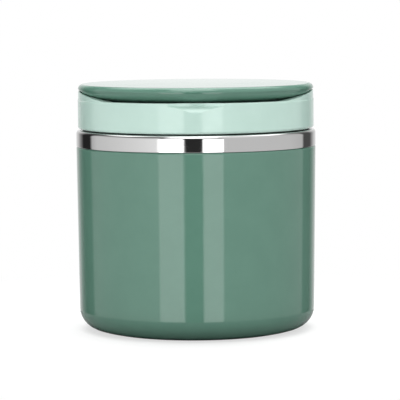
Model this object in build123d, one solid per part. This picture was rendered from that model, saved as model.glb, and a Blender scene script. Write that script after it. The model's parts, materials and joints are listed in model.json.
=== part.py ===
from build123d import *
import os
from math import asin, cos, sin, sqrt

# Soup cup: a double-walled steel pot in a plastic casing, closed by a screw-on collar whose
# cover flips up on a hinge at the back.  Millimetres, +Z up.  The origin is the middle of the
# foot's underside, the thumb scoop faces -Y and the hinge stands at +Y.

# Steel pot and shell
pot_radius = 47.0        # inside of the pot
pot_corner = 10.0        # rounding between the pot's wall and floor
steel = 0.6              # sheet of the pot, the shell and the base pan
rim_edge = 0.25          # rounding of the pot's rim
neck_gap = 1.6           # vacuum between the pot and the neck
neck_root = 0.8          # rounding where the neck meets the shoulder
vacuum_gap = 5.0         # vacuum under the pot
band_overhang = 0.8      # the polished band stands out past the collar by this
band_height = 7.75
band_shoulder = 1.8      # rounding of the band's upper edge
band_edge = 0.3          # rounding of the band's lower edge

# Base pan and what the vacuum needs
pan_corner = 5.5
pan_skirt = 1.0          # straight wall between the pan's corner and the shell's end
pan_lap = 6.0            # the pan's rim reaches this far up inside the shell
weld_fit = 0.05          # radial clearance at the pan's weld
dimple_radius = 7.0
dimple_rise = 1.2
dimple_slope = 1.2       # run of the dimple's slanted side
vent_radius = 1.5        # hole through which the wall is pumped out
vent_fit = 0.05
button_radius = 3.0      # head of the vacuum plug
button_height = 0.8
plug_stand = 0.3         # the plug's stem ends this far above the pan
getter_radius = 6.0
getter_height = 2.0
getter_offset = 24.0     # from the cup's axis

# Casing, cushion and foot
casing_lip = 86.0        # height of the casing's lip above the table
casing_draft = 1.0       # the casing's foot is this much smaller in radius than its lip
casing_corner = 9.8
casing_wall = 2.0
casing_floor = 2.4
casing_edge = 0.9        # rounding of the lip
shell_fit = 0.3          # between the casing and the shell inside it
cushion_height = 1.0
cushion_margin = 1.6     # the cushion ends this far inside the pan's flat floor
foot_margin = 0.3        # the foot ends this far inside the casing's flat underside
foot_proud = 0.4
foot_recess = 0.8
foot_fit = 0.1
foot_edge = 0.3

# Screw thread
thread_starts = 3
thread_lead = 12.0       # rise in one turn
thread_depth = 1.1
thread_crest = 0.7       # width of a ridge at its top
thread_play = 0.3        # radial clearance over a crest
flank_play = 0.4         # clearance between neighbouring flanks
thread_top = 1.5         # the neck's ridges end this far below its top
thread_entry = 0.75      # the insert's ridges start this far above its lower end
thread_bite = 0.3        # a ridge is sunk into its wall by this

# Lid collar and its insert
insert_wall = 2.1
insert_fit = 0.1
insert_lead_in = 0.5
collar_wall = 1.8
collar_gap = 0.5         # between the band's shoulder and the collar
collar_height = 13.8     # up to the low rim in front
collar_foot = 1.1        # rounding of the collar's lower edge
rim_width = 4.5
rim_round = 0.7          # rounding of the rim's outer edge
rim_inner_round = 0.3
bead_depth = 0.4         # snap bead that holds the insert
bead_height = 0.6
deck_drop = 0.8          # the deck lies this far below the rim
deck_thickness = 1.9
tube_gap = 2.4           # between the pot and the tube round the mouth
tube_wall = 1.6
tube_reach = 2.5         # the tube goes this far below the cover's plug
tube_edge = 0.4
back_wall = 3.2          # thickness of the high wall round the back
back_gap = 0.35          # between that wall and the cover
back_lip = 0.95          # the wall's top edge lies this far below the cover's seam
wall_front = 10.0        # the wall is full height up to this far in front of the axis
wall_ramp = 26.0         # run of the slope from there down to the rim
wall_inset = 0.2         # the wall's outside lies this far inside the collar's face
scoop_radius = 35.0      # of the scoop, seen from above, at its lower end
scoop_flare = 3.7        # radius of the rounding that leads into the scoop from below
scoop_height = 5.2       # from there up to the rim
scoop_clear = 0.05       # the rounding starts this far in front of the collar's face

# Seals
gasket_thickness = 1.8
gasket_play = 0.05       # above and below the gasket
gasket_fit = 0.15        # round the mouth's tube
seal_height = 2.4
seal_fit = 0.3           # between the cover's seal and the mouth
seal_seat = 0.05         # between the seal and its groove
seal_drop = 2.7          # from the cover's flat underside to the seal
seal_lip = 0.9           # height of one sealing lip
seal_body = 0.15         # the seal's body stands out past the plug by this

# Cover
cover_inset = 0.2        # the cover's edge lies this far inside the collar's face
cover_gap = 0.45         # between the deck and the cover's flat underside
groove_height = 4.95     # from the rim up to the cover's widest point
edge_height = 2.0        # from the cover's widest point up to the dome
edge_inset = 2.2
dome_rise = 0.25
cover_wall = 1.8
cover_rim = 2.2          # thickness of the top's rim at the seam
seam_drop = 0.3          # the seam lies this far below the widest point
seam_step = 0.35         # the lower half is this much smaller at the seam
spigot_height = 0.5
spigot_wall = 1.2
spigot_fit = 0.1
bowl_floor = 2.0
bowl_inset = 1.0
plug_gap = 1.1           # between the plug and the mouth
plug_wall = 2.2
plug_lip = 1.4           # plug below the seal
plug_edge = 0.6
plug_root = 0.5          # the plug's ring is sunk into the bowl's floor by this
groove_depth = 0.6
foam_margin = 1.0
foam_gap = 0.3           # between the foam and the dome

# Hinge
pin_radius = 1.0
pin_play = 0.05          # in the cover's knuckle
pin_fit = 0.01           # in the collar's ears
pin_inset = 0.3
barrel_radius = 2.2
barrel_gap = 0.4         # between the barrel and the shelf below it
barrel_clear = 0.3       # between the barrel and the cover's top
axis_drop = 1.8          # the hinge's axis lies this far below the cover's seam
knuckle_width = 15.4
knuckle_play = 0.3       # at each side of the knuckle
ear_width = 5.0
shelf_thickness = 1.0
gusset_height = 3.0
bracket_bite = 0.8       # the bracket is sunk into the collar's wall by this
arm_bite = 0.4           # the arm is sunk into the bowl by this
arm_length = 7.5         # from the hinge's axis into the bowl
open_angle = 110.0       # degrees, where the heel meets the shelf
heel_gap = 0.05

# Radii, from the pot outwards
neck_radius = pot_radius + steel + neck_gap + steel
thread_radius = neck_radius + thread_depth
insert_bore = thread_radius + thread_play
insert_radius = insert_bore + insert_wall
skirt_bore = insert_radius + insert_fit
collar_radius = skirt_bore + collar_wall
band_radius = collar_radius + band_overhang
casing_foot_radius = band_radius - casing_draft
foot_radius = casing_foot_radius - casing_corner - foot_margin
back_bore = collar_radius - back_wall
cover_radius = collar_radius - cover_inset

# Radii, from the pot inwards
tube_radius = pot_radius - tube_gap
bore_radius = tube_radius - tube_wall
plug_radius = bore_radius - plug_gap
plug_bore = plug_radius - plug_wall
groove_radius = plug_radius - groove_depth
seal_radius = bore_radius - seal_fit
bowl_flat = plug_radius + bowl_inset

# Heights, from the table up
floor_top = foot_proud + casing_floor
pan_bottom = floor_top + cushion_height
shell_bottom = pan_bottom + pan_corner + pan_skirt
pot_bottom = pan_bottom + steel + vacuum_gap
shoulder = casing_lip + band_height
collar_bottom = shoulder + collar_gap
insert_bottom = collar_bottom + bead_height
rim = collar_bottom + collar_height
deck_top = rim - deck_drop
deck_bottom = deck_top - deck_thickness
mouth = deck_bottom - gasket_thickness - 2 * gasket_play
neck_top = mouth - steel
cover_bottom = deck_top + cover_gap
seal_top = cover_bottom - seal_drop
seal_bottom = seal_top - seal_height
plug_bottom = seal_bottom - plug_lip
tube_bottom = plug_bottom - tube_reach
widest = rim + groove_height
seam = widest - seam_drop
dome_edge = widest + edge_height
apex = dome_edge + dome_rise

# The dome is part of a sphere, and the bowl's side is a quarter of an ellipse
edge_radius = cover_radius - edge_inset
dome_radius = (edge_radius**2 + dome_rise**2) / (2 * dome_rise)
bowl_radius = cover_radius - seam_step
bowl_run = bowl_radius - bowl_flat
bowl_lift = seam - cover_bottom

# Hinge axis: below the seam, and behind the cover by no more than the barrel needs
axis_height = seam - axis_drop
axis_reach = barrel_radius + barrel_clear
axis_back = cover_radius + sqrt(max(axis_reach**2 - axis_drop**2, 0))
shelf = axis_height - barrel_radius - barrel_gap
knuckle_half = knuckle_width / 2
ear_inner = knuckle_half + knuckle_play
ear_outer = ear_inner + ear_width
bracket_back = axis_back + barrel_radius

# Thread ridges: the insert's lie halfway between the neck's
thread_pitch = thread_lead / thread_starts
thread_root = thread_pitch / 2 - flank_play
insert_start = insert_bottom + thread_entry + thread_root / 2
neck_start = insert_start + thread_pitch / 2
thread_rise = neck_top - thread_top - neck_start


def dome_height(radius):
    """Height of the cover's outside at a radius from the axis."""
    return apex - dome_radius + sqrt(dome_radius**2 - radius**2)


def bowl_height(radius):
    """Height of the cover's underside at a radius from the axis."""
    return seam - bowl_lift * sqrt(1 - ((radius - bowl_flat) / bowl_run) ** 2)


def casing_bore(height):
    """Inside radius of the casing at a height."""
    share = (height - floor_top) / (casing_lip - floor_top)
    return casing_foot_radius - casing_wall + casing_draft * share


def turned(*corners):
    """Solid of revolution from (radius, height) corners; a third value rounds that corner."""
    points = [corner[:2] for corner in corners]
    rounds = [corner[2] if len(corner) == 3 else 0 for corner in corners]
    return lathe(FilletPolyline(*points, radius=rounds, close=True))


def lathe(outline):
    """Solid of revolution about Z from a closed outline in radius and height."""
    return revolve(make_face(Plane.XZ * outline), Axis.Z)


def across(sketch, half_width):
    """Slab of a side-view sketch, as wide to the left as to the right."""
    return extrude(Plane.YZ * sketch, half_width, both=True)


def side_view(*points):
    """Filled outline in depth and height."""
    return make_face(Polyline(*points, close=True))


def ridges(root_radius, crest_radius, start_height):
    """One helical ridge for each start of the screw thread."""
    helix = Helix(thread_lead, thread_rise, root_radius, center=(0, 0, start_height))
    depth = crest_radius - root_radius
    sunk = thread_bite if depth < 0 else -thread_bite
    section = Plane((root_radius, 0, start_height), x_dir=(1, 0, 0), z_dir=(0, 1, 0)) * make_face(
        Polyline(
            (sunk, -thread_root / 2),
            (0, -thread_root / 2),
            (depth, -thread_crest / 2),
            (depth, thread_crest / 2),
            (0, thread_root / 2),
            (sunk, thread_root / 2),
            close=True,
        )
    )
    ridge = sweep(section, path=helix, is_frenet=True)
    return [Rot(0, 0, 360 / thread_starts * start) * ridge for start in range(thread_starts)]


def make_casing():
    return turned(
        (0, foot_proud + foot_recess),
        (foot_radius + foot_fit, foot_proud + foot_recess),
        (foot_radius + foot_fit, foot_proud),
        (casing_foot_radius, foot_proud, casing_corner),
        (band_radius, casing_lip, casing_edge),
        (band_radius - casing_wall, casing_lip),
        (casing_foot_radius - casing_wall, floor_top, casing_corner - casing_wall),
        (0, floor_top),
    )


def make_foot_pad():
    return turned(
        (0, 0),
        (foot_radius, 0, foot_edge),
        (foot_radius, foot_proud + foot_recess),
        (0, foot_proud + foot_recess),
    )


def make_base_cushion():
    pan_flat = pan_radius() - pan_corner
    return turned(
        (0, floor_top),
        (pan_flat - cushion_margin, floor_top),
        (pan_flat - cushion_margin, pan_bottom),
        (0, pan_bottom),
    )


def pan_radius():
    """Outside radius of the base pan, which fits inside the shell's lower end."""
    return casing_bore(shell_bottom) - shell_fit - steel - weld_fit


def make_base_pan():
    radius = pan_radius()
    dimple_top = pan_bottom + dimple_rise
    dimple_foot = dimple_radius + dimple_slope
    return turned(
        (vent_radius, dimple_top),
        (dimple_radius, dimple_top),
        (dimple_foot, pan_bottom),
        (radius, pan_bottom, pan_corner),
        (radius, shell_bottom + pan_lap),
        (radius - steel, shell_bottom + pan_lap),
        (radius - steel, pan_bottom + steel, pan_corner - steel),
        (dimple_foot + steel, pan_bottom + steel),
        (dimple_radius + steel, dimple_top + steel),
        (vent_radius, dimple_top + steel),
    )


def make_vacuum_plug():
    seat = pan_bottom + dimple_rise
    stem = vent_radius - vent_fit
    return turned(
        (0, seat - button_height),
        (button_radius, seat - button_height),
        (button_radius, seat),
        (stem, seat),
        (stem, seat + steel + plug_stand),
        (0, seat + steel + plug_stand),
    )


def make_getter():
    pill = Cylinder(getter_radius, getter_height, align=(Align.CENTER, Align.CENTER, Align.MIN))
    return Pos(0, getter_offset, pan_bottom + steel) * pill


def make_outer_shell():
    top = casing_bore(casing_lip) - shell_fit
    bottom = casing_bore(shell_bottom) - shell_fit
    wall = turned(
        (neck_radius, neck_top),
        (neck_radius, shoulder, neck_root),
        (band_radius, shoulder, band_shoulder),
        (band_radius, casing_lip, band_edge),
        (top, casing_lip),
        (bottom, shell_bottom),
        (bottom - steel, shell_bottom),
        (top - steel, casing_lip + steel),
        (band_radius - steel, casing_lip + steel),
        (band_radius - steel, shoulder - steel, band_shoulder - steel),
        (neck_radius - steel, shoulder - steel, neck_root + steel),
        (neck_radius - steel, neck_top),
    )
    return wall + ridges(neck_radius, thread_radius, neck_start)


def make_inner_pot():
    outside = pot_radius + steel
    return turned(
        (0, pot_bottom),
        (outside, pot_bottom, pot_corner + steel),
        (outside, neck_top),
        (neck_radius, neck_top),
        (neck_radius, mouth, rim_edge),
        (pot_radius, mouth, rim_edge),
        (pot_radius, pot_bottom + steel, pot_corner),
        (0, pot_bottom + steel),
    )


def make_lid_gasket():
    return turned(
        (tube_radius + gasket_fit, mouth + gasket_play),
        (neck_radius, mouth + gasket_play),
        (neck_radius, deck_bottom - gasket_play),
        (tube_radius + gasket_fit, deck_bottom - gasket_play),
    )


def make_thread_insert():
    ring = turned(
        (insert_bore, insert_bottom, insert_lead_in),
        (insert_radius, insert_bottom),
        (insert_radius, deck_bottom),
        (insert_bore, deck_bottom),
    )
    return ring + ridges(insert_bore, neck_radius + thread_play, insert_start)


def collar_ring():
    """Skirt, rim, deck and mouth tube, before the back wall, the scoop and the hinge."""
    return turned(
        (collar_radius, collar_bottom, collar_foot),
        (collar_radius, rim, rim_round),
        (collar_radius - rim_width, rim, rim_inner_round),
        (collar_radius - rim_width, deck_top),
        (bore_radius, deck_top, tube_edge),
        (bore_radius, tube_bottom, tube_edge),
        (tube_radius, tube_bottom, tube_edge),
        (tube_radius, deck_bottom),
        (skirt_bore, deck_bottom),
        (skirt_bore, insert_bottom),
        (skirt_bore - bead_depth, insert_bottom),
        (skirt_bore - bead_depth, collar_bottom),
    )


def collar_back_wall():
    """High wall round the back, sloping down to the rim on both sides."""
    far = 2 * collar_radius
    face = collar_radius - wall_inset
    lip = seam - back_lip
    ring = turned((back_bore, deck_top), (face, deck_top), (face, lip), (back_bore, lip))
    ramp_foot = wall_front + wall_ramp
    front = side_view((-ramp_foot, rim), (-wall_front, lip), (-wall_front, apex), (-far, apex), (-far, rim))
    slot = side_view((0, shelf), (far, shelf), (far, apex), (0, apex))
    return ring - across(front, far) - across(slot, ear_inner)


def collar_hinge_bracket():
    """Shelf behind the wall with an ear at each end, bored for the pin."""
    wall = collar_radius - bracket_bite
    foot = shelf - shelf_thickness
    below = [(bracket_back, foot), (wall, foot - gusset_height), (0, foot - gusset_height)]
    ledge = across(side_view((0, shelf), (bracket_back, shelf), *below), ear_outer)
    web = side_view((0, axis_height), (bracket_back, axis_height), *below)
    barrel = Pos(axis_back, axis_height) * Circle(barrel_radius)
    ears = across(web + barrel, ear_outer) - across(web + barrel, ear_inner)
    inside = Cylinder(wall, 4 * apex)
    bore = across(Pos(axis_back, axis_height) * Circle(pin_radius + pin_fit), ear_outer)
    return ledge + ears - inside - bore


def thumb_scoop():
    """Cutter for the scoop: a trumpet in front of the collar that flares towards the rim."""
    low = rim - scoop_height
    wide = scoop_radius + scoop_flare
    outline = [
        Line((0, low), (scoop_radius, low)),
        TangentArc((scoop_radius, low), (wide, low + scoop_flare), tangent=(0, 1)),
        Polyline((wide, low + scoop_flare), (wide, apex), (0, apex), (0, low)),
    ]
    return Pos(0, -collar_radius - scoop_radius - scoop_clear, 0) * lathe(Curve() + outline)


def make_lid_collar():
    bowl_room = lathe(Curve() + bowl_outline(back_gap))
    back = collar_back_wall() + collar_hinge_bracket() - bowl_room
    return collar_ring() + back - thumb_scoop()


def make_hinge_pin():
    return across(Pos(axis_back, axis_height) * Circle(pin_radius), ear_outer - pin_inset)


def make_cover_top():
    half = edge_radius / 2
    rim_bore = cover_radius - cover_rim
    slope = asin(edge_radius / dome_radius)
    inner_half = rim_bore / 2
    outline = [
        ThreePointArc((0, apex), (half, dome_height(half)), (edge_radius, dome_edge)),
        TangentArc((edge_radius, dome_edge), (cover_radius, widest), tangent=(cos(slope), -sin(slope))),
        Polyline(
            (cover_radius, widest),
            (cover_radius, seam),
            (rim_bore, seam),
            (rim_bore, dome_height(rim_bore) - cover_wall),
        ),
        ThreePointArc(
            (rim_bore, dome_height(rim_bore) - cover_wall),
            (inner_half, dome_height(inner_half) - cover_wall),
            (0, apex - cover_wall),
        ),
        Line((0, apex - cover_wall), (0, apex)),
    ]
    return lathe(Curve() + outline)


def bowl_outline(gap):
    """Closed outline from the axis to the bowl's underside, this far outside it, and up to the seam."""
    low = cover_bottom - gap
    arc = EllipticalCenterArc((bowl_flat, seam), bowl_run + gap, seam - low, 270, arc_size=90)
    return [Line((0, low), (bowl_flat, low)), arc, Polyline((bowl_radius + gap, seam), (0, seam), (0, low))]


def cover_bowl():
    """Lower half of the cover: flat underside, curved side and the spigot that the top sits on."""
    spigot_radius = cover_radius - cover_rim - spigot_fit
    spigot_top = seam + spigot_height
    spigot_bore = spigot_radius - spigot_wall
    floor = cover_bottom + bowl_floor
    inner_flat = bowl_flat - bowl_inset
    outline = [
        Line((0, cover_bottom), (bowl_flat, cover_bottom)),
        EllipticalCenterArc((bowl_flat, seam), bowl_run, bowl_lift, 270, arc_size=90),
        Polyline(
            (bowl_radius, seam),
            (spigot_radius, seam),
            (spigot_radius, spigot_top),
            (spigot_bore, spigot_top),
        ),
        TangentArc((inner_flat, floor), (spigot_bore, spigot_top), tangent=(1, 0)),
        Polyline((inner_flat, floor), (0, floor), (0, cover_bottom)),
    ]
    return lathe(Curve() + outline)


def cover_plug():
    """Ring that hangs from the bowl into the mouth, grooved for the seal."""
    root = cover_bottom + plug_root
    return turned(
        (plug_bore, root),
        (plug_radius, root),
        (plug_radius, seal_top),
        (groove_radius, seal_top),
        (groove_radius, seal_bottom),
        (plug_radius, seal_bottom),
        (plug_radius, plug_bottom, plug_edge),
        (plug_bore, plug_bottom, plug_edge),
    )


def cover_knuckle():
    """Arm and barrel of the hinge, with the heel that meets the shelf when the cover is open."""
    inner = axis_back - arm_length
    outer = bowl_radius - arm_bite
    arm = side_view(
        (axis_back, axis_height - barrel_radius),
        (axis_back, seam),
        (outer, seam),
        (inner, bowl_height(inner) + arm_bite),
    )
    reach = axis_height - shelf - heel_gap
    block = side_view((0, 0), (0, -reach), (barrel_radius, -reach), (barrel_radius, 0))
    heel = Rot(0, 0, open_angle) * block
    axis = Pos(axis_back, axis_height)
    bore = axis * Circle(pin_radius + pin_play)
    return across(arm + axis * Circle(barrel_radius) + axis * heel - bore, knuckle_half)


def make_cover_base():
    return cover_bowl() + cover_plug() + cover_knuckle()


def make_cover_foam():
    radius = bowl_flat - bowl_inset - foam_margin
    bottom = cover_bottom + bowl_floor
    top = dome_height(radius) - cover_wall - foam_gap
    return turned((0, bottom), (radius, bottom), (radius, top), (0, top))


def make_cover_seal():
    inner = groove_radius + seal_seat
    body = plug_radius + seal_body
    low = seal_bottom + seal_seat
    high = seal_top - seal_seat
    return turned(
        (inner, low),
        (body, low),
        (seal_radius, low + seal_lip / 2),
        (body, low + seal_lip),
        (body, high - seal_lip),
        (seal_radius, high - seal_lip / 2),
        (body, high),
        (inner, high),
    )


pieces = {
    "casing": make_casing(),
    "foot_pad": make_foot_pad(),
    "base_cushion": make_base_cushion(),
    "base_pan": make_base_pan(),
    "vacuum_plug": make_vacuum_plug(),
    "getter": make_getter(),
    "outer_shell": make_outer_shell(),
    "inner_pot": make_inner_pot(),
    "lid_gasket": make_lid_gasket(),
    "thread_insert": make_thread_insert(),
    "lid_collar": make_lid_collar(),
    "hinge_pin": make_hinge_pin(),
    "cover_top": make_cover_top(),
    "cover_base": make_cover_base(),
    "cover_foam": make_cover_foam(),
    "cover_seal": make_cover_seal(),
}

os.makedirs("parts", exist_ok=True)
for name, solid in pieces.items():
    export_step(solid, f"parts/{name}.step")
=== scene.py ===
import json
from math import pi, radians

import bmesh
import bpy
from mathutils import Matrix


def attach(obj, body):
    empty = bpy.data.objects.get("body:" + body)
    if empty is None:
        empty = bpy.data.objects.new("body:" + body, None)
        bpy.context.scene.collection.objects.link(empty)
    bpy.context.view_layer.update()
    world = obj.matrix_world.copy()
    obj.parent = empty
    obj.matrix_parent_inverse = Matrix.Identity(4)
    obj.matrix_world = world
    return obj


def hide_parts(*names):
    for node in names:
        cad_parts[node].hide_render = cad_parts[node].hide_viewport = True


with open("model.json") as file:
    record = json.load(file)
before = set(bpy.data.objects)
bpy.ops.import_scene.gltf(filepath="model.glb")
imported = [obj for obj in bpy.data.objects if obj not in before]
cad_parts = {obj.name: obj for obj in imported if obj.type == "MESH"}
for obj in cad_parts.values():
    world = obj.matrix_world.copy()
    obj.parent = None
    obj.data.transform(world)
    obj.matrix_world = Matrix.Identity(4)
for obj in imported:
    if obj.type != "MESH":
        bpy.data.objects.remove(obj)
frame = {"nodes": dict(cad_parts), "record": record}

# Soup cup on a white table in a photo studio.  Metres, +Z up, thumb scoop towards -Y, hinge
# towards +Y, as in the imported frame.  Sizes of the turned pieces are written in millimetres.

scene = bpy.context.scene
nodes = frame["nodes"]
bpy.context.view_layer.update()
mm = 0.001

# Steel pot and shell, in millimetres
pot_radius = 47.0
pot_corner = 10.0
steel = 0.6
rim_edge = 0.25
neck_gap = 1.6
neck_root = 0.8
vacuum_gap = 5.0
band_overhang = 0.8
band_height = 7.75
band_shoulder = 1.8
band_edge = 0.3
pan_corner = 5.5
pan_skirt = 1.0

# Casing, cushion and foot
casing_lip = 86.0
casing_draft = 1.0
casing_corner = 9.8
casing_wall = 2.0
casing_floor = 2.4
casing_edge = 0.9
shell_fit = 0.3
cushion_height = 1.0
foot_margin = 0.3
foot_proud = 0.4
foot_recess = 0.8
foot_fit = 0.1
foot_edge = 0.3
foot_groove = 0.25       # depth of the grooves under the foot
foot_grooves = 5
foot_groove_pitch = 7.0
foot_groove_width = 2.0
foot_groove_round = 0.1

# Screw thread
thread_starts = 3
thread_lead = 12.0
thread_depth = 1.1
thread_crest = 0.7
thread_play = 0.3
flank_play = 0.4
thread_top = 1.5
thread_entry = 0.75
thread_bite = 0.3
thread_run_out = 0.18    # share of a ridge's length over which each end fades

# Collar, insert and seals
insert_wall = 2.1
insert_fit = 0.1
insert_lead_in = 0.5
collar_wall = 1.8
collar_gap = 0.5
collar_height = 13.8
bead_height = 0.6
deck_drop = 0.8
deck_thickness = 1.9
tube_gap = 2.4
tube_wall = 1.6
gasket_thickness = 1.8
gasket_play = 0.05
gasket_fit = 0.15
gasket_round = 0.5
seal_height = 2.4
seal_fit = 0.3
seal_seat = 0.05
seal_drop = 2.7
seal_lip = 0.9
seal_body = 0.15
seal_round = 0.12
cover_gap = 0.45
plug_gap = 1.1
groove_depth = 0.6

# Radii and heights that follow
neck_radius = pot_radius + steel + neck_gap + steel
insert_bore = neck_radius + thread_depth + thread_play
insert_radius = insert_bore + insert_wall
band_radius = insert_radius + insert_fit + collar_wall + band_overhang
casing_foot_radius = band_radius - casing_draft
foot_radius = casing_foot_radius - casing_corner - foot_margin
tube_radius = pot_radius - tube_gap
bore_radius = tube_radius - tube_wall
plug_radius = bore_radius - plug_gap
groove_radius = plug_radius - groove_depth
floor_top = foot_proud + casing_floor
pan_bottom = floor_top + cushion_height
shell_bottom = pan_bottom + pan_corner + pan_skirt
pot_bottom = pan_bottom + steel + vacuum_gap
shoulder = casing_lip + band_height
insert_bottom = shoulder + collar_gap + bead_height
deck_top = shoulder + collar_gap + collar_height - deck_drop
deck_bottom = deck_top - deck_thickness
mouth = deck_bottom - gasket_thickness - 2 * gasket_play
neck_top = mouth - steel
seal_top = deck_top + cover_gap - seal_drop
seal_bottom = seal_top - seal_height
thread_pitch = thread_lead / thread_starts
thread_root = thread_pitch / 2 - flank_play
insert_start = insert_bottom + thread_entry + thread_root / 2
neck_start = insert_start + thread_pitch / 2
thread_rise = neck_top - thread_top - neck_start

# Meshes of the turned pieces and the threads
turned_facets = 192
rounding_steps = 8       # points in a rounded corner
turned_sharp = 35.0      # degrees between faces above which an edge is drawn sharp
thread_sides = 4
thread_steps = 72        # along a ridge
thread_sharp = 60.0
seam_gap = 1e-6          # metres

# Marks and reliefs of the finishes
hair_lean = (0.3, 0.7, 0.4)      # radians
hair_stretch = (1.0, 14.0, 3.0)
hair_share = 0.2         # of the scratch size's scale, before the stretch
hair_width = 0.012       # of the noise's range
patch_share = 0.4        # of the smudge size's scale
drift_scale = 45.0
skin_relief = 0.000012   # metres
bloom_dulling = 0.12
plastic_ior = 1.5

# Camera
camera_place = (0.0, -1.150, 0.1613)
camera_tilt = 5.03       # degrees below level
camera_yaw = 0.085       # degrees towards +X
camera_roll = 0.40       # degrees, clockwise seen from behind
camera_lens = 221.2      # millimetres
camera_sensor = 36.0     # millimetres
camera_clip = (0.01, 20.0)

# Studio light: (degrees, level) by height, or by compass angle from the camera, positive to its right
compass_span = (-180.0, 180.0)
height_span = (-90.0, 90.0)
wall_panels = [
    (-180.0, 1.25),
    (-156.0, 0.85),
    (-147.0, 0.40),
    (-140.0, 0.12),
    (-138.0, 0.03),
    (-122.0, 0.03),
    (-118.0, 0.78),
    (-110.0, 1.0),
    (-80.0, 1.15),
    (-52.0, 1.32),
    (-36.7, 1.46),
    (-35.7, 0.04),
    (25.6, 0.04),
    (26.6, 0.98),
    (65.0, 0.98),
    (100.0, 0.95),
    (123.0, 0.82),
    (126.0, 0.12),
    (142.0, 0.12),
    (147.0, 0.40),
    (156.0, 0.85),
    (180.0, 1.25),
]
panel_heights = [(-90.0, 0.0), (-27.0, 0.0), (-24.0, 1.0), (14.0, 1.0), (32.0, 0.3), (90.0, 0.1)]
strip_sides = [
    (-180.0, 0.0),
    (-36.7, 0.0),
    (-35.7, 3.6),
    (-12.0, 3.6),
    (-11.0, 0.0),
    (6.2, 0.0),
    (7.2, 3.6),
    (25.6, 3.6),
    (26.6, 0.0),
    (180.0, 0.0),
]
strip_heights = [(-90.0, 0.0), (-27.0, 0.0), (-24.0, 1.0), (8.0, 1.0), (14.0, 0.0), (90.0, 0.0)]
softbox_sides = [
    (-180.0, 0.1),
    (-46.0, 0.12),
    (-34.0, 0.6),
    (0.0, 0.7),
    (30.0, 1.0),
    (75.0, 1.0),
    (110.0, 0.7),
    (150.0, 0.3),
    (180.0, 0.1),
]
softbox_heights = [(-90.0, 0.0), (14.0, 0.0), (42.0, 1.1), (90.0, 1.1)]
front_lamp_sides = [
    (-180.0, 0.0),
    (-38.0, 0.0),
    (-34.0, 1.0),
    (24.0, 1.0),
    (28.0, 0.0),
    (180.0, 0.0),
]
front_lamp_heights = [
    (-90.0, 0.0),
    (36.0, 0.0),
    (44.0, 3.0),
    (52.0, 4.5),
    (68.0, 4.5),
    (74.0, 0.0),
    (90.0, 0.0),
]
back_lamp_sides = [
    (-180.0, 1.0),
    (-120.0, 1.0),
    (-90.0, 0.0),
    (90.0, 0.0),
    (120.0, 1.0),
    (180.0, 1.0),
]
back_lamp_heights = [(-90.0, 0.0), (38.0, 0.0), (55.0, 4.5), (90.0, 4.5)]
overhead_heights = [(-90.0, 0.0), (72.0, 0.0), (80.0, 4.0), (90.0, 4.0)]
table_heights = [(-90.0, 0.85), (-30.0, 0.85), (-25.0, 0.0), (90.0, 0.0)]
brightest = 8.0          # level that a ramp's white stands for

# Table, in metres
floor_size = 3.0
floor_drop = 0.0002      # keeps it clear of the foot's underside
floor_colour = 0.30
floor_glow = 0.66        # brings the lit table up to white for the camera
floor_fade = (0.08, 0.22)        # distances over which the lit table turns plain white
table_radius = 0.085     # the part of the table that the cup's own reflections show


# Node helpers

def feed(tree, socket, value):
    if isinstance(value, bpy.types.NodeSocket):
        tree.links.new(value, socket)
    else:
        socket.default_value = value


def place(tree, kind, inputs=None, **settings):
    """New node with its settings made and its inputs, by name or number, linked or set."""
    node = tree.nodes.new(kind)
    for name, value in settings.items():
        setattr(node, name, value)
    for key, value in (inputs or {}).items():
        feed(tree, node.inputs[key], value)
    return node


def maths(tree, operation, *values):
    node = place(tree, "ShaderNodeMath", dict(enumerate(values)), operation=operation)
    return node.outputs[0]


def new_group(name, kind, inputs, outputs):
    """Node group with sockets from two dictionaries: name to socket type, or to (type, value)."""
    group = bpy.data.node_groups.new(name, kind)
    for title, form in inputs.items():
        form, value = form if isinstance(form, tuple) else (form, None)
        socket = group.interface.new_socket(title, in_out="INPUT", socket_type=form)
        if value is not None:
            socket.default_value = value
    for title, form in outputs.items():
        group.interface.new_socket(title, in_out="OUTPUT", socket_type=form)
    entry = group.nodes.new("NodeGroupInput")
    leave = group.nodes.new("NodeGroupOutput")
    return group, entry.outputs, leave.inputs


# Turned and threaded pieces

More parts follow.
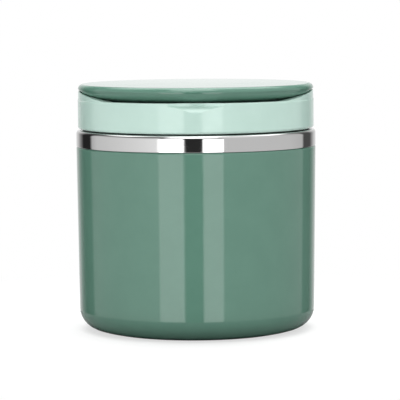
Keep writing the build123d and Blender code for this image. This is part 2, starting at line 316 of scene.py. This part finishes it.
def turning_tree():
    """Turns a profile curve round Z.  A point's radius is the rounding of its corner."""
    group, given, result = new_group(
        "turned piece",
        "GeometryNodeTree",
        {
            "Profile": "NodeSocketObject",
            "Rounding steps": ("NodeSocketInt", rounding_steps),
            "Spacing": "NodeSocketFloat",
            "Facets": ("NodeSocketInt", turned_facets),
            "Sharp angle": ("NodeSocketFloat", radians(turned_sharp)),
            "Finish": "NodeSocketMaterial",
        },
        {"Geometry": "NodeSocketGeometry"},
    )
    profile = place(
        group, "GeometryNodeObjectInfo", {"Object": given["Profile"]}, transform_space="ORIGINAL"
    )
    rounded = place(
        group,
        "GeometryNodeFilletCurve",
        {
            "Curve": profile.outputs["Geometry"],
            "Radius": place(group, "GeometryNodeInputRadius").outputs[0],
            "Count": given["Rounding steps"],
            "Limit Radius": True,
        },
        mode="POLY",
    ).outputs[0]
    position = place(group, "GeometryNodeInputPosition").outputs[0]
    following = place(
        group, "GeometryNodeOffsetPointInCurve", {"Offset": 1}
    ).outputs["Point Index"]
    ahead = place(
        group,
        "GeometryNodeFieldAtIndex",
        {"Index": following, "Value": position},
        data_type="FLOAT_VECTOR",
        domain="POINT",
    ).outputs[0]
    step = place(
        group, "ShaderNodeVectorMath", {0: position, 1: ahead}, operation="DISTANCE"
    ).outputs["Value"]
    cuts = maths(group, "FLOOR", maths(group, "DIVIDE", step, given["Spacing"]))
    outline = place(
        group, "GeometryNodeSubdivideCurve", {"Curve": rounded, "Cuts": cuts}
    ).outputs[0]
    count = place(
        group, "GeometryNodeAttributeDomainSize", {"Geometry": outline}, component="CURVE"
    ).outputs["Point Count"]
    rows = maths(group, "ADD", count, 1.0)
    columns = maths(group, "ADD", given["Facets"], 1.0)
    grid = place(
        group, "GeometryNodeMeshGrid", {"Vertices X": rows, "Vertices Y": columns}
    ).outputs[0]
    index = place(group, "GeometryNodeInputIndex").outputs[0]
    row = maths(group, "FLOOR", maths(group, "DIVIDE", maths(group, "ADD", index, 0.5), columns))
    column = maths(group, "SUBTRACT", index, maths(group, "MULTIPLY", row, columns))
    point = place(
        group,
        "GeometryNodeSampleIndex",
        {"Geometry": outline, "Value": position, "Index": maths(group, "MODULO", row, count)},
        data_type="FLOAT_VECTOR",
        domain="POINT",
    ).outputs[0]
    corner = place(group, "ShaderNodeSeparateXYZ", {0: point}).outputs
    angle = maths(group, "DIVIDE", maths(group, "MULTIPLY", column, 2 * pi), given["Facets"])
    positions = round_axis(group, corner["X"], angle, corner["Y"])
    feed(group, result["Geometry"], dressed(group, grid, positions, given))
    return group


def thread_tree():
    """Helical ridges that fade out at both ends, one for each start of a screw thread."""
    group, given, result = new_group(
        "thread ridges",
        "GeometryNodeTree",
        {
            "Root radius": "NodeSocketFloat",
            "Crest radius": "NodeSocketFloat",
            "Start height": "NodeSocketFloat",
            "Rise": "NodeSocketFloat",
            "Lead": "NodeSocketFloat",
            "Starts": "NodeSocketInt",
            "Root width": "NodeSocketFloat",
            "Crest width": "NodeSocketFloat",
            "Run out": "NodeSocketFloat",
            "Steps": ("NodeSocketInt", thread_steps),
            "Sharp angle": ("NodeSocketFloat", radians(thread_sharp)),
            "Finish": "NodeSocketMaterial",
        },
        {"Geometry": "NodeSocketGeometry"},
    )
    columns = thread_sides + 1
    rows = maths(group, "ADD", given["Steps"], 1.0)
    grid = place(
        group, "GeometryNodeMeshGrid", {"Vertices X": rows, "Vertices Y": columns}
    ).outputs[0]
    index = place(group, "GeometryNodeInputIndex").outputs[0]
    row = maths(group, "FLOOR", maths(group, "DIVIDE", maths(group, "ADD", index, 0.5), columns))
    corner = maths(group, "SUBTRACT", index, maths(group, "MULTIPLY", row, columns))
    corner = maths(group, "MODULO", corner, thread_sides)
    along = maths(group, "DIVIDE", row, given["Steps"])
    from_end = maths(group, "MINIMUM", along, maths(group, "SUBTRACT", 1.0, along))
    share = maths(group, "MINIMUM", maths(group, "DIVIDE", from_end, given["Run out"]), 1.0)
    swell = maths(group, "SINE", maths(group, "MULTIPLY", share, pi / 2))
    from_middle = maths(group, "SUBTRACT", corner, (thread_sides - 1) / 2)
    crest = maths(group, "LESS_THAN", maths(group, "ABSOLUTE", from_middle), 1.0)
    depth = maths(group, "SUBTRACT", given["Crest radius"], given["Root radius"])
    reach = maths(group, "MULTIPLY", maths(group, "MULTIPLY", crest, swell), depth)
    radius = maths(group, "ADD", given["Root radius"], reach)
    narrowing = maths(group, "SUBTRACT", given["Root width"], given["Crest width"])
    narrowed = maths(group, "MULTIPLY", crest, narrowing)
    width = maths(group, "SUBTRACT", given["Root width"], narrowed)
    half = maths(group, "MULTIPLY", width, 0.5)
    side = maths(group, "MULTIPLY", maths(group, "SIGN", from_middle), half)
    climb = maths(group, "MULTIPLY", given["Rise"], along)
    height = maths(group, "ADD", given["Start height"], climb)
    height = maths(group, "ADD", height, maths(group, "MULTIPLY", side, swell))
    angle = maths(group, "MULTIPLY", maths(group, "DIVIDE", climb, given["Lead"]), 2 * pi)
    ridge = dressed(group, grid, round_axis(group, radius, angle, height), given)
    starts = place(
        group, "GeometryNodeMeshLine", {"Count": given["Starts"], "Offset": (0.0, 0.0, 0.0)}
    ).outputs[0]
    turn = maths(group, "DIVIDE", maths(group, "MULTIPLY", index, 2 * pi), given["Starts"])
    turns = place(group, "ShaderNodeCombineXYZ", {"Z": turn}).outputs[0]
    copies = place(
        group,
        "GeometryNodeInstanceOnPoints",
        {"Points": starts, "Instance": ridge, "Rotation": turns},
    ).outputs[0]
    whole = place(group, "GeometryNodeRealizeInstances", {"Geometry": copies}).outputs[0]
    feed(group, result["Geometry"], whole)
    return group


def round_axis(group, radius, angle, height):
    """Position at a radius and an angle round Z."""
    return place(
        group,
        "ShaderNodeCombineXYZ",
        {
            "X": maths(group, "MULTIPLY", radius, maths(group, "COSINE", angle)),
            "Y": maths(group, "MULTIPLY", radius, maths(group, "SINE", angle)),
            "Z": height,
        },
    ).outputs[0]


def dressed(group, grid, positions, given):
    """Grid laid out, closed at its seams, smooth but for its sharp edges, and given its finish."""
    laid = place(
        group, "GeometryNodeSetPosition", {"Geometry": grid, "Position": positions}
    ).outputs[0]
    closed = place(
        group, "GeometryNodeMergeByDistance", {"Geometry": laid, "Distance": seam_gap}
    ).outputs[0]
    smooth = place(
        group, "GeometryNodeSetShadeSmooth", {0: closed, "Shade Smooth": True}, domain="FACE"
    ).outputs[0]
    angle = place(group, "GeometryNodeInputMeshEdgeAngle").outputs["Unsigned Angle"]
    sharp = maths(group, "GREATER_THAN", angle, given["Sharp angle"])
    creased = place(
        group,
        "GeometryNodeSetShadeSmooth",
        {0: smooth, "Selection": sharp, "Shade Smooth": False},
        domain="EDGE",
    ).outputs[0]
    return place(
        group, "GeometryNodeSetMaterial", {"Geometry": creased, "Material": given["Finish"]}
    ).outputs[0]


def grown(name, tree, values):
    """Plain mesh object from a Geometry Nodes tree with the given inputs."""
    piece = bpy.data.objects.new(name, bpy.data.meshes.new(name))
    scene.collection.objects.link(piece)
    maker = piece.modifiers.new(name, "NODES")
    maker.node_group = tree
    for item in tree.interface.items_tree:
        if item.in_out == "INPUT" and item.name in values:
            maker[item.identifier] = values[item.name]
    evaluated = piece.evaluated_get(bpy.context.evaluated_depsgraph_get())
    mesh = bpy.data.meshes.new_from_object(evaluated)
    piece.modifiers.remove(maker)
    piece.data = mesh
    shape = bmesh.new()
    shape.from_mesh(mesh)
    bmesh.ops.recalc_face_normals(shape, faces=shape.faces)
    shape.to_mesh(mesh)
    shape.free()
    return piece


def turned(name, tree, finish, *corners, spacing=2.0):
    """Turned piece from (radius, height) corners in millimetres; a third value rounds a corner."""
    curve = bpy.data.curves.new(name + " profile", "CURVE")
    curve.dimensions = "3D"
    line = curve.splines.new("POLY")
    line.points.add(len(corners) - 1)
    line.use_cyclic_u = True
    for point, corner in zip(line.points, corners):
        point.co = (corner[0] * mm, corner[1] * mm, 0.0, 1.0)
        point.radius = corner[2] * mm if len(corner) == 3 else 0.0
    profile = bpy.data.objects.new(name + " profile", curve)
    scene.collection.objects.link(profile)
    piece = grown(name, tree, {"Profile": profile, "Spacing": spacing * mm, "Finish": finish})
    bpy.data.objects.remove(profile)
    bpy.data.curves.remove(curve)
    return piece


def threaded(name, tree, finish, root, crest, start):
    return grown(
        name,
        tree,
        {
            "Root radius": root * mm,
            "Crest radius": crest * mm,
            "Start height": start * mm,
            "Rise": thread_rise * mm,
            "Lead": thread_lead * mm,
            "Starts": thread_starts,
            "Root width": thread_root * mm,
            "Crest width": thread_crest * mm,
            "Run out": thread_run_out,
            "Finish": finish,
        },
    )


def casing_bore(height):
    """Radius of the casing's tapered inside at a height."""
    share = (height - floor_top) / (casing_lip - floor_top)
    return casing_foot_radius - casing_wall + casing_draft * share


def make_casing(tree, finish):
    return turned(
        "turned_casing",
        tree,
        finish,
        (0, foot_proud + foot_recess),
        (foot_radius + foot_fit, foot_proud + foot_recess),
        (foot_radius + foot_fit, foot_proud),
        (casing_foot_radius, foot_proud, casing_corner),
        (band_radius, casing_lip, casing_edge),
        (band_radius - casing_wall, casing_lip),
        (casing_foot_radius - casing_wall, floor_top, casing_corner - casing_wall),
        (0, floor_top),
    )


def make_foot(tree, finish):
    """Soft foot with rings of shallow grooves underneath."""
    underside = []
    rounding = foot_groove_round
    for ring in range(foot_grooves):
        inner = foot_radius - (foot_grooves - ring) * foot_groove_pitch
        outer = inner + foot_groove_width
        underside += [
            (inner, 0, rounding),
            (inner, foot_groove, rounding),
            (outer, foot_groove, rounding),
            (outer, 0, rounding),
        ]
    return turned(
        "grooved_foot",
        tree,
        finish,
        (0, 0),
        *underside,
        (foot_radius, 0, foot_edge),
        (foot_radius, foot_proud + foot_recess),
        (0, foot_proud + foot_recess),
    )


def make_shell(tree, finish):
    top = casing_bore(casing_lip) - shell_fit
    bottom = casing_bore(shell_bottom) - shell_fit
    return turned(
        "steel_shell",
        tree,
        finish,
        (neck_radius, neck_top),
        (neck_radius, shoulder, neck_root),
        (band_radius, shoulder, band_shoulder),
        (band_radius, casing_lip, band_edge),
        (top, casing_lip),
        (bottom, shell_bottom),
        (bottom - steel, shell_bottom),
        (top - steel, casing_lip + steel),
        (band_radius - steel, casing_lip + steel),
        (band_radius - steel, shoulder - steel, band_shoulder - steel),
        (neck_radius - steel, shoulder - steel, neck_root + steel),
        (neck_radius - steel, neck_top),
        spacing=1.0,
    )


def make_pot(tree, finish):
    outside = pot_radius + steel
    return turned(
        "drawn_pot",
        tree,
        finish,
        (0, pot_bottom),
        (outside, pot_bottom, pot_corner + steel),
        (outside, neck_top),
        (neck_radius, neck_top),
        (neck_radius, mouth, rim_edge),
        (pot_radius, mouth, rim_edge),
        (pot_radius, pot_bottom + steel, pot_corner),
        (0, pot_bottom + steel),
    )


def make_gasket(tree, finish):
    inner = tube_radius + gasket_fit
    low = mouth + gasket_play
    high = deck_bottom - gasket_play
    return turned(
        "flat_gasket",
        tree,
        finish,
        (inner, low, gasket_round),
        (neck_radius, low, gasket_round),
        (neck_radius, high, gasket_round),
        (inner, high, gasket_round),
        spacing=1.0,
    )


def make_insert(tree, finish):
    return turned(
        "insert_ring",
        tree,
        finish,
        (insert_bore, insert_bottom, insert_lead_in),
        (insert_radius, insert_bottom),
        (insert_radius, deck_bottom),
        (insert_bore, deck_bottom),
        spacing=1.0,
    )


def make_seal(tree, finish):
    inner = groove_radius + seal_seat
    body = plug_radius + seal_body
    lip = bore_radius - seal_fit
    low = seal_bottom + seal_seat
    high = seal_top - seal_seat
    return turned(
        "lipped_seal",
        tree,
        finish,
        (inner, low),
        (body, low),
        (lip, low + seal_lip / 2, seal_round),
        (body, low + seal_lip, seal_round),
        (body, high - seal_lip, seal_round),
        (lip, high - seal_lip / 2, seal_round),
        (body, high),
        (inner, high),
        spacing=0.5,
    )


# Finishes

def scale_for(tree, size, share=1.0):
    """Texture scale that gives features of a size, or a share of that scale."""
    return maths(tree, "DIVIDE", share, size)


def noise(tree, coords, scale, detail=2.0, roughness=0.5, distortion=0.0):
    node = place(
        tree,
        "ShaderNodeTexNoise",
        {
            "Vector": coords,
            "Scale": scale,
            "Detail": detail,
            "Roughness": roughness,
            "Distortion": distortion,
        },
    )
    return node.outputs["Fac"]


def between(tree, value, low, high, to_low=0.0, to_high=1.0):
    """Value eased from one level to the other between low and high."""
    node = place(
        tree,
        "ShaderNodeMapRange",
        {"Value": value, "From Min": low, "From Max": high, "To Min": to_low, "To Max": to_high},
        interpolation_type="SMOOTHSTEP",
    )
    return node.outputs["Result"]


def moulded_skin():
    """Skin of a moulded piece: cloudy pigment, and the faint waviness of the tool's polish."""
    group, given, result = new_group(
        "moulded skin",
        "ShaderNodeTree",
        {"Cloud size": ("NodeSocketFloat", 0.012), "Wave size": ("NodeSocketFloat", 0.006)},
        {"Cloud": "NodeSocketFloat", "Height": "NodeSocketFloat"},
    )
    coords = place(group, "ShaderNodeTexCoord").outputs["Object"]
    cloud = noise(group, coords, scale_for(group, given["Cloud size"]), detail=4.0, roughness=0.6)
    wave = noise(group, coords, scale_for(group, given["Wave size"]), detail=1.0)
    feed(group, result["Cloud"], between(group, cloud, 0.3, 0.7))
    feed(group, result["Height"], wave)
    return group


def handling_marks():
    """Marks of use: soft smudges left by hands, and patches of fine hair scratches."""
    group, given, result = new_group(
        "handling marks",
        "ShaderNodeTree",
        {"Smudge size": ("NodeSocketFloat", 0.02), "Scratch size": ("NodeSocketFloat", 0.004)},
        {"Smudge": "NodeSocketFloat", "Scratch": "NodeSocketFloat"},
    )
    coords = place(group, "ShaderNodeTexCoord").outputs["Object"]
    smudge = noise(
        group,
        coords,
        scale_for(group, given["Smudge size"]),
        detail=3.0,
        roughness=0.55,
        distortion=0.6,
    )
    lean = place(
        group,
        "ShaderNodeMapping",
        {"Vector": coords, "Rotation": hair_lean, "Scale": hair_stretch},
    )
    hair = noise(
        group,
        lean.outputs[0],
        scale_for(group, given["Scratch size"], hair_share),
        roughness=0.7,
        distortion=0.3,
    )
    patch = noise(group, coords, scale_for(group, given["Smudge size"], patch_share), detail=1.0)
    off_line = maths(group, "ABSOLUTE", maths(group, "SUBTRACT", hair, 0.5))
    lines = between(group, off_line, 0.0, hair_width, to_low=1.0, to_high=0.0)
    patches = between(group, patch, 0.5, 0.65)
    feed(group, result["Smudge"], between(group, smudge, 0.45, 0.75))
    feed(group, result["Scratch"], maths(group, "MULTIPLY", lines, patches))
    return group


def turning_lines():
    """Fine rings left by spinning and polishing, by height up a wall and by radius on a flat."""
    group, given, result = new_group(
        "turning lines",
        "ShaderNodeTree",
        {"Line pitch": ("NodeSocketFloat", 0.0004)},
        {"Line": "NodeSocketFloat", "Drift": "NodeSocketFloat"},
    )
    coords = place(group, "ShaderNodeTexCoord").outputs["Object"]
    axes = place(group, "ShaderNodeSeparateXYZ", {0: coords}).outputs
    squares = [maths(group, "POWER", axes[axis], 2.0) for axis in "XY"]
    radius = maths(group, "SQRT", maths(group, "ADD", *squares))
    count = maths(group, "DIVIDE", maths(group, "ADD", radius, axes["Z"]), given["Line pitch"])
    line = place(
        group,
        "ShaderNodeTexNoise",
        {"W": count, "Scale": 1.0, "Detail": 2.0},
        noise_dimensions="1D",
    )
    drift = noise(group, coords, drift_scale)
    feed(group, result["Line"], line.outputs["Fac"])
    feed(group, result["Drift"], drift)
    return group


def bloom():
    """Dull bloom and fine pores of rubber and foam."""
    group, given, result = new_group(
        "rubber bloom",
        "ShaderNodeTree",
        {"Bloom size": ("NodeSocketFloat", 0.01), "Pore size": ("NodeSocketFloat", 0.0006)},
        {"Bloom": "NodeSocketFloat", "Pores": "NodeSocketFloat"},
    )
    coords = place(group, "ShaderNodeTexCoord").outputs["Object"]
    cloud = noise(group, coords, scale_for(group, given["Bloom size"]), detail=4.0, roughness=0.6)
    cells = place(
        group,
        "ShaderNodeTexVoronoi",
        {"Vector": coords, "Scale": scale_for(group, given["Pore size"])},
    )
    feed(group, result["Bloom"], between(group, cloud, 0.35, 0.7))
    feed(group, result["Pores"], cells.outputs["Distance"])
    return group


def new_finish(name):
    material = bpy.data.materials.new(name)
    material.use_nodes = True
    return material, material.node_tree, material.node_tree.nodes["Principled BSDF"].inputs


def use(tree, group, **values):
    """Outputs of a shader group, with inputs set by name, their spaces written as underscores."""
    node = tree.nodes.new("ShaderNodeGroup")
    node.node_tree = group
    for name, value in values.items():
        feed(tree, node.inputs[name.replace("_", " ")], value)
    return node.outputs


def tint(tree, factor, first, second):
    node = place(tree, "ShaderNodeMix", {"Factor": factor}, data_type="RGBA")
    feed(tree, node.inputs["A"], (*first, 1.0))
    feed(tree, node.inputs["B"], (*second, 1.0))
    return node.outputs["Result"]


def relief(tree, height, depth):
    return place(tree, "ShaderNodeBump", {"Height": height, "Distance": depth}).outputs["Normal"]


def plastic(name, groups, colour, deeper, gloss, dulled):
    """Moulded plastic: clouded colour, gloss dulled by hands, and faintly wavy reflections."""
    material, tree, shader = new_finish(name)
    skin = use(tree, groups["skin"])
    marks = use(tree, groups["marks"])
    feed(tree, shader["Base Color"], tint(tree, skin["Cloud"], colour, deeper))
    worn = maths(tree, "ADD", maths(tree, "MULTIPLY", marks["Smudge"], dulled), gloss)
    scratched = maths(tree, "MULTIPLY", marks["Scratch"], dulled)
    feed(tree, shader["Roughness"], maths(tree, "ADD", worn, scratched))
    feed(tree, shader["Normal"], relief(tree, skin["Height"], skin_relief))
    shader["IOR"].default_value = plastic_ior
    return material


def metal(name, groups, colour, darker, gloss, spread, pitch, depth):
    """Spun metal: fine rings in its gloss and relief, and a little colour drift."""
    material, tree, shader = new_finish(name)
    lines = use(tree, groups["lines"], Line_pitch=pitch)
    marks = use(tree, groups["marks"])
    feed(tree, shader["Base Color"], tint(tree, lines["Drift"], colour, darker))
    rings = maths(tree, "MULTIPLY", lines["Line"], spread)
    hands = maths(tree, "MULTIPLY", marks["Smudge"], spread)
    feed(tree, shader["Roughness"], maths(tree, "ADD", maths(tree, "ADD", rings, hands), gloss))
    feed(tree, shader["Normal"], relief(tree, lines["Line"], depth))
    shader["Metallic"].default_value = 1.0
    return material


def rubber(name, groups, colour, bloomed, dull, pore, depth):
    """Silicone, rubber or foam: a bloom over the colour, and pores of its own size."""
    material, tree, shader = new_finish(name)
    skin = use(tree, groups["bloom"], Pore_size=pore)
    feed(tree, shader["Base Color"], tint(tree, skin["Bloom"], colour, bloomed))
    duller = between(tree, skin["Bloom"], 0.0, 1.0, dull, dull + bloom_dulling)
    feed(tree, shader["Roughness"], duller)
    feed(tree, shader["Normal"], relief(tree, skin["Pores"], depth))
    return material


def make_finishes():
    groups = {
        "skin": moulded_skin(),
        "marks": handling_marks(),
        "lines": turning_lines(),
        "bloom": bloom(),
    }
    return {
        "green_gloss": plastic(
            "green gloss",
            groups,
            colour=(0.108, 0.230, 0.174),
            deeper=(0.102, 0.220, 0.166),
            gloss=0.055,
            dulled=0.03,
        ),
        "mint_gloss": plastic(
            "mint gloss",
            groups,
            colour=(0.51, 0.69, 0.62),
            deeper=(0.49, 0.67, 0.60),
            gloss=0.08,
            dulled=0.05,
        ),
        "white_plastic": plastic(
            "white insert",
            groups,
            colour=(0.76, 0.77, 0.75),
            deeper=(0.72, 0.73, 0.71),
            gloss=0.30,
            dulled=0.08,
        ),
        "polished_steel": metal(
            "polished steel",
            groups,
            colour=(0.64, 0.635, 0.63),
            darker=(0.60, 0.60, 0.60),
            gloss=0.03,
            spread=0.04,
            pitch=0.0005,
            depth=0.0000008,
        ),
        "satin_steel": metal(
            "satin steel",
            groups,
            colour=(0.60, 0.60, 0.595),
            darker=(0.54, 0.54, 0.54),
            gloss=0.20,
            spread=0.16,
            pitch=0.0004,
            depth=0.000004,
        ),
        "pin_steel": metal(
            "pin steel",
            groups,
            colour=(0.56, 0.56, 0.56),
            darker=(0.50, 0.50, 0.51),
            gloss=0.16,
            spread=0.12,
            pitch=0.0003,
            depth=0.000003,
        ),
        "pale_silicone": rubber(
            "pale silicone",
            groups,
            colour=(0.68, 0.73, 0.71),
            bloomed=(0.75, 0.78, 0.77),
            dull=0.42,
            pore=0.0005,
            depth=0.00002,
        ),
        "dark_silicone": rubber(
            "dark silicone",
            groups,
            colour=(0.045, 0.07, 0.06),
            bloomed=(0.07, 0.095, 0.085),
            dull=0.5,
            pore=0.0005,
            depth=0.00003,
        ),
        "grey_foam": rubber(
            "grey cushion",
            groups,
            colour=(0.17, 0.17, 0.17),
            bloomed=(0.21, 0.21, 0.21),
            dull=0.75,
            pore=0.0009,
            depth=0.0002,
        ),
        "white_foam": rubber(
            "white foam",
            groups,
            colour=(0.80, 0.80, 0.78),
            bloomed=(0.72, 0.72, 0.70),
            dull=0.8,
            pore=0.0025,
            depth=0.0004,
        ),
        "solder": metal(
            "solder",
            groups,
            colour=(0.34, 0.34, 0.36),
            darker=(0.25, 0.25, 0.27),
            gloss=0.35,
            spread=0.2,
            pitch=0.0012,
            depth=0.00002,
        ),
        "getter_grey": rubber(
            "getter pill",
            groups,
            colour=(0.11, 0.11, 0.12),
            bloomed=(0.16, 0.16, 0.165),
            dull=0.7,
            pore=0.0004,
            depth=0.00006,
        ),
    }


# Studio

def make_camera():
    lens = bpy.data.cameras.new("camera")
    lens.sensor_width = camera_sensor
    lens.lens = camera_lens
    lens.clip_start, lens.clip_end = camera_clip
    camera = bpy.data.objects.new("camera", lens)
    turn = Matrix.Rotation(radians(-camera_yaw), 4, "Z")
    tilt = Matrix.Rotation(radians(90.0 - camera_tilt), 4, "X")
    roll = Matrix.Rotation(radians(-camera_roll), 4, "Z")
    camera.matrix_world = Matrix.Translation(camera_place) @ turn @ tilt @ roll
    scene.collection.objects.link(camera)
    scene.camera = camera


def level_ramp(tree, factor, stops, span):
    """Level read from a ramp through (angle, level) stops, with angles in the span."""
    low, high = span
    ramp = place(tree, "ShaderNodeValToRGB", {"Fac": factor})
    elements = ramp.color_ramp.elements
    while len(elements) < len(stops):
        elements.new(1.0)
    for element, (angle, level) in zip(elements, stops):
        share = level / brightest
        element.position = (angle - low) / (high - low)
        element.color = (share, share, share, 1.0)
    return maths(tree, "MULTIPLY", ramp.outputs["Color"], brightest)


def make_studio():
    """Panels all round, two bright strips, a softbox, lamps above the cup, and the lit table."""
    world = bpy.data.worlds.new("studio")
    world.use_nodes = True
    tree = world.node_tree
    tree.nodes.clear()
    coords = place(tree, "ShaderNodeTexCoord").outputs["Generated"]
    axes = place(tree, "ShaderNodeSeparateXYZ", {0: coords}).outputs
    angle = maths(tree, "ARCTAN2", axes["X"], maths(tree, "MULTIPLY", axes["Y"], -1.0))
    compass = maths(tree, "MULTIPLY_ADD", angle, 1.0 / radians(360.0), 0.5)
    lift = maths(tree, "ARCSINE", axes["Z"])
    height = maths(tree, "MULTIPLY_ADD", lift, 1.0 / radians(180.0), 0.5)
    lamps = [
        (wall_panels, panel_heights),
        (strip_sides, strip_heights),
        (softbox_sides, softbox_heights),
        (front_lamp_sides, front_lamp_heights),
        (back_lamp_sides, back_lamp_heights),
    ]
    level = level_ramp(tree, height, table_heights, height_span)
    level = maths(tree, "ADD", level, level_ramp(tree, height, overhead_heights, height_span))
    for sides, heights in lamps:
        across = level_ramp(tree, compass, sides, compass_span)
        upright = level_ramp(tree, height, heights, height_span)
        level = maths(tree, "MULTIPLY_ADD", across, upright, level)
    light = place(tree, "ShaderNodeBackground", {"Strength": level})
    white = place(tree, "ShaderNodeBackground", {"Color": (1.0, 1.0, 1.0, 1.0), "Strength": 1.0})
    seen = place(tree, "ShaderNodeLightPath").outputs["Is Camera Ray"]
    shown = place(tree, "ShaderNodeMixShader", {0: seen, 1: light.outputs[0], 2: white.outputs[0]})
    place(tree, "ShaderNodeOutputWorld", {"Surface": shown.outputs[0]})
    scene.world = world


def make_floor():
    """White table: the camera sees it lit to white with the cup's shadow on it."""
    mesh = bpy.data.meshes.new("floor")
    half = floor_size / 2
    corners = [(-half, -half), (half, -half), (half, half), (-half, half)]
    mesh.from_pydata([(x, y, -floor_drop) for x, y in corners], [], [(0, 1, 2, 3)])
    floor = bpy.data.objects.new("floor", mesh)
    scene.collection.objects.link(floor)
    material = bpy.data.materials.new("white table")
    material.use_nodes = True
    tree = material.node_tree
    tree.nodes.clear()
    coords = place(tree, "ShaderNodeTexCoord").outputs["Object"]
    far = place(tree, "ShaderNodeVectorMath", {0: coords}, operation="LENGTH").outputs["Value"]
    seen = place(tree, "ShaderNodeLightPath").outputs["Is Camera Ray"]
    grey = (floor_colour, floor_colour, floor_colour, 1.0)
    matt = place(tree, "ShaderNodeBsdfDiffuse", {"Color": grey})
    glow = place(tree, "ShaderNodeEmission", {"Strength": floor_glow})
    lit = place(tree, "ShaderNodeAddShader", {0: matt.outputs[0], 1: glow.outputs[0]})
    white = place(tree, "ShaderNodeEmission", {"Strength": 1.0})
    fade = between(tree, far, *floor_fade)
    shown = place(tree, "ShaderNodeMixShader", {0: fade, 1: lit.outputs[0], 2: white.outputs[0]})
    clear = place(tree, "ShaderNodeBsdfTransparent")
    beyond = maths(tree, "GREATER_THAN", far, table_radius)
    near = place(tree, "ShaderNodeMixShader", {0: beyond, 1: matt.outputs[0], 2: clear.outputs[0]})
    whole = place(tree, "ShaderNodeMixShader", {0: seen, 1: near.outputs[0], 2: shown.outputs[0]})
    place(tree, "ShaderNodeOutputMaterial", {"Surface": whole.outputs[0]})
    mesh.materials.append(material)


def dress_cup(finishes):
    """Turned pieces stand for their CAD nodes, threads are added, other nodes get finishes."""
    record = frame["record"]
    turning = turning_tree()
    threading = thread_tree()
    makers = {
        "casing": make_casing,
        "foot_pad": make_foot,
        "outer_shell": make_shell,
        "inner_pot": make_pot,
        "lid_gasket": make_gasket,
        "thread_insert": make_insert,
        "cover_seal": make_seal,
    }
    riders = record["behaviour"]["bodies"]
    bodies = {node: body for body, names in riders.items() for node in names}
    slots = {part["node"]: part["material_slot"] for part in record["subparts"]}
    for node, make in makers.items():
        piece = make(turning, finishes[slots[node]])
        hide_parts(node)
        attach(piece, bodies[node])
    threads = {
        "outer_shell": (
            "neck_thread",
            neck_radius - thread_bite,
            neck_radius + thread_depth,
            neck_start,
        ),
        "thread_insert": (
            "insert_thread",
            insert_bore + thread_bite,
            neck_radius + thread_play,
            insert_start,
        ),
    }
    for node, (name, root, crest, start) in threads.items():
        piece = threaded(name, threading, finishes[slots[node]], root, crest, start)
        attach(piece, bodies[node])
    for node in nodes:
        if node not in makers:
            nodes[node].data.materials[0] = finishes[slots[node]]


make_camera()
make_studio()
make_floor()
dress_cup(make_finishes())
scene.view_settings.view_transform = "Standard"
